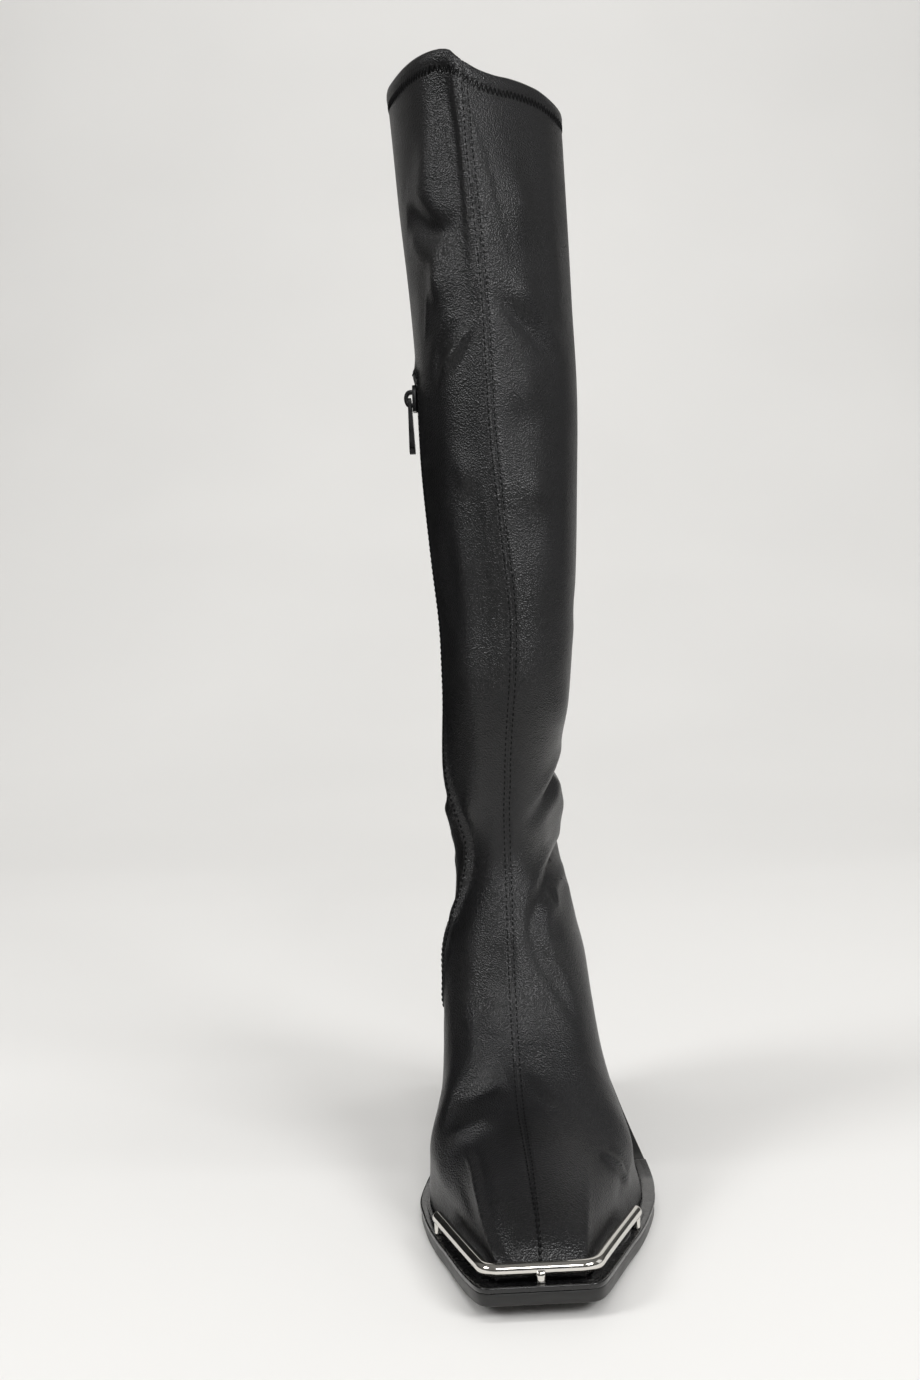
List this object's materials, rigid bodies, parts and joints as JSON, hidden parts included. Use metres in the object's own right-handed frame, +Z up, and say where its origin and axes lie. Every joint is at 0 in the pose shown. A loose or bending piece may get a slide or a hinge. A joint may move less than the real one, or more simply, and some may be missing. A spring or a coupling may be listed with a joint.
{
  "type": "knee-high boot",
  "caption": "Left knee-high heeled boot in black stretch leather, square toe with steel guard rail, half side zip and covered block heel, standing empty.",
  "frame": {"origin": "centre of the heel's bottom face, on the floor", "axes": "+Z up the shaft, -Y towards the toe, +X towards the outer side of this left boot"},
  "size_m": [0.1022, 0.2633, 0.4856],
  "materials": {
    "leather": "satin stretch leather, fine grain",
    "lining": "matte lining leather",
    "welt": "gloss edge paint",
    "sole": "satin burnished edge",
    "steel": "polished",
    "zip": "satin black"
  },
  "bodies": {
    "boot": {"upper": "leather", "insole": "lining", "welt": "welt", "outsole": "sole", "heel": "leather", "toe_rail": "steel", "zip_chain": "zip", "zip_slider": "zip"},
    "zip_pull": {"zip_pull": "zip"}
  },
  "joints": [
    {"name": "zip_pull_hinge", "type": "hinge", "parent": "boot", "child": "zip_pull", "pos_m": [-0.04493, -0.0778, 0.3505], "axis": [0, 1, 0], "range_deg": [0, 150]}
  ]
}
